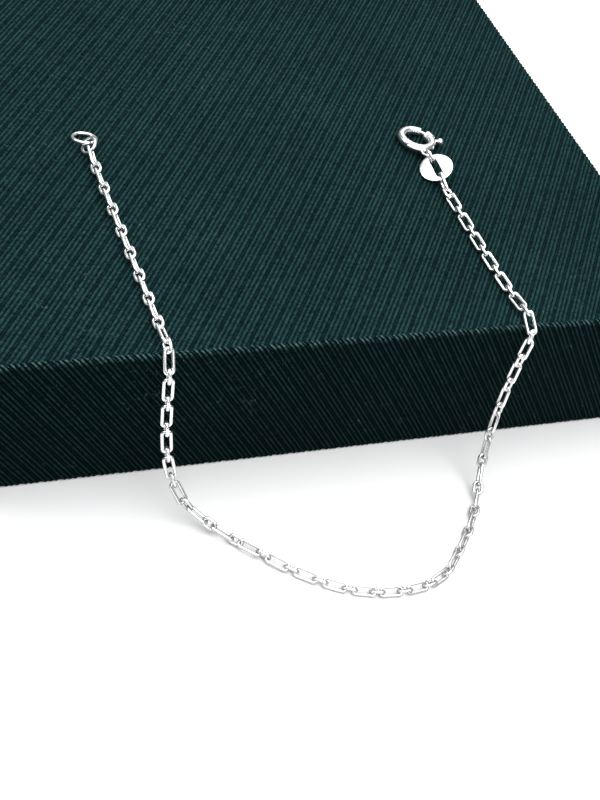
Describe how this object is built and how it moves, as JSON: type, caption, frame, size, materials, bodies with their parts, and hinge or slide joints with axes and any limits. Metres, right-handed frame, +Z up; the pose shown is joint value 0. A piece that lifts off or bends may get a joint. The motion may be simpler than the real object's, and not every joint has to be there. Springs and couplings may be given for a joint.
{
  "type": "chain bracelet lying on a cloth-covered display box",
  "caption": "Open silver paperclip-link chain bracelet with a spring-ring clasp, a bare slotted tag and an end ring, laid over its dark green cloth-covered display box.",
  "frame": {"origin": "middle of the bounding box at table height", "axes": "+X along the box's long front edge, +Y from the front face towards the back, +Z up"},
  "size_m": [0.104, 0.0979, 0.0246],
  "materials": {
    "box_cloth": "matte corded cloth",
    "chain_silver": "polished silver",
    "fitting_silver": "polished silver",
    "clasp_silver": "polished silver",
    "latch_silver": "polished silver"
  },
  "bodies": {
    "bracelet": {"display_box": "box_cloth", "chain_left": "chain_silver", "chain_right": "chain_silver", "end_jump_ring": "fitting_silver", "end_ring": "fitting_silver", "tag_disc": "fitting_silver", "clasp_jump_ring": "fitting_silver", "clasp_ring": "clasp_silver"},
    "latch": {"clasp_latch": "latch_silver"}
  },
  "joints": [
    {"name": "latch_slide", "type": "hinge", "parent": "bracelet", "child": "latch", "pos_m": [0.02241, 0.01142, 0.02269], "axis": [-0.0025, -0.0886, -0.9961], "range_deg": [0, 40], "stiffness_Nm_per_rad": 0.0015, "springref_deg": -17.19}
  ]
}
